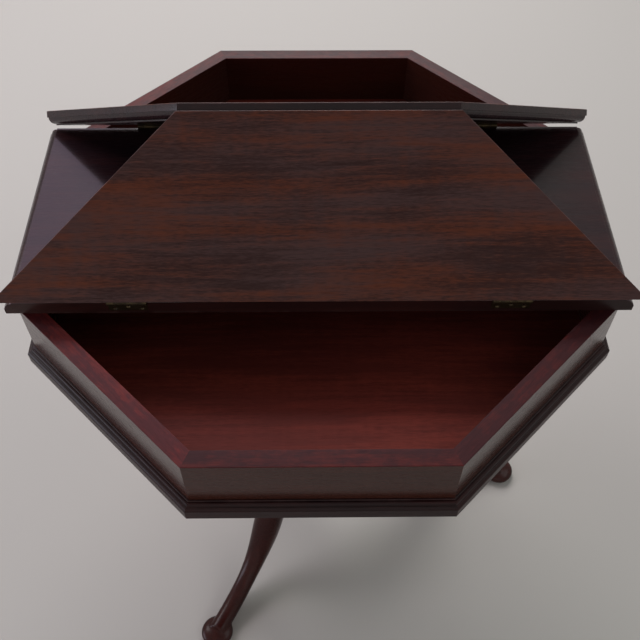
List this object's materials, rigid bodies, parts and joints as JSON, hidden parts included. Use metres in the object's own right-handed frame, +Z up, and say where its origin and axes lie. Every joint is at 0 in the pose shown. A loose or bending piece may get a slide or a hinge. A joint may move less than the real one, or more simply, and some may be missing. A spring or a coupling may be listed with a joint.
{
  "type": "octagonal occasional table",
  "caption": "Octagonal pedestal table with a fixed top strip, hinged lids leaning open over a shallow mitred well, turned column and cabriole tripod.",
  "frame": {"origin": "on the floor under the column's axis, which is the middle of the object's box in Y and within 5 mm of it in X, where one foot reaches past the top", "axes": "+Z up, -Y towards the front lid's compartment, +X right, towards the one leg that lies on the X axis"},
  "size_m": [0.6195, 0.6064, 0.7421],
  "materials": {
    "polished_mahogany": "high polish",
    "box_mahogany": "polished",
    "well_mahogany": "satin",
    "moulding_mahogany": "polished",
    "pedestal_mahogany": "polished",
    "plain_wood": "bare",
    "hinge_brass": "aged",
    "screw_brass": "aged",
    "black_iron": "dull"
  },
  "bodies": {
    "table": {"top_strip": "polished_mahogany", "wall_front": "box_mahogany", "wall_front_right": "box_mahogany", "wall_right": "box_mahogany", "wall_rear_right": "box_mahogany", "wall_rear": "box_mahogany", "wall_rear_left": "box_mahogany", "wall_left": "box_mahogany", "wall_front_left": "box_mahogany", "bottom_board": "well_mahogany", "glue_blocks": "plain_wood", "base_moulding_front": "moulding_mahogany", "base_moulding_front_right": "moulding_mahogany", "base_moulding_right": "moulding_mahogany", "base_moulding_rear_right": "moulding_mahogany", "base_moulding_rear": "moulding_mahogany", "base_moulding_rear_left": "moulding_mahogany", "base_moulding_left": "moulding_mahogany", "base_moulding_front_left": "moulding_mahogany", "cleat_left": "plain_wood", "cleat_right": "plain_wood", "strip_screws": "screw_brass", "hinge_front_left_strip_leaf": "hinge_brass", "hinge_front_left_pin": "hinge_brass", "hinge_front_right_strip_leaf": "hinge_brass", "hinge_front_right_pin": "hinge_brass", "hinge_rear_left_strip_leaf": "hinge_brass", "hinge_rear_left_pin": "hinge_brass", "hinge_rear_right_strip_leaf": "hinge_brass", "hinge_rear_right_pin": "hinge_brass", "front_strip_hinge_screws": "screw_brass", "rear_strip_hinge_screws": "screw_brass", "bearer_block": "plain_wood", "bearer_screws": "screw_brass", "column": "pedestal_mahogany", "tenon_wedge": "plain_wood", "leg_right": "pedestal_mahogany", "leg_rear_left": "pedestal_mahogany", "leg_front_left": "pedestal_mahogany", "iron_spider": "black_iron", "spider_screws": "screw_brass"},
    "front_lid": {"front_lid": "polished_mahogany", "hinge_front_left_lid_leaf": "hinge_brass", "hinge_front_right_lid_leaf": "hinge_brass", "front_lid_hinge_screws": "screw_brass"},
    "rear_lid": {"rear_lid": "polished_mahogany", "hinge_rear_left_lid_leaf": "hinge_brass", "hinge_rear_right_lid_leaf": "hinge_brass", "rear_lid_hinge_screws": "screw_brass"}
  },
  "joints": [
    {"name": "front_lid_hinge", "type": "hinge", "parent": "table", "child": "front_lid", "pos_m": [0, -0.12734, 0.6115], "axis": [1, 0, 0], "range_deg": [0, 138.51]},
    {"name": "rear_lid_hinge", "type": "hinge", "parent": "table", "child": "rear_lid", "pos_m": [0, 0.12734, 0.6115], "axis": [-1, 0, 0], "range_deg": [0, 138.51]}
  ]
}
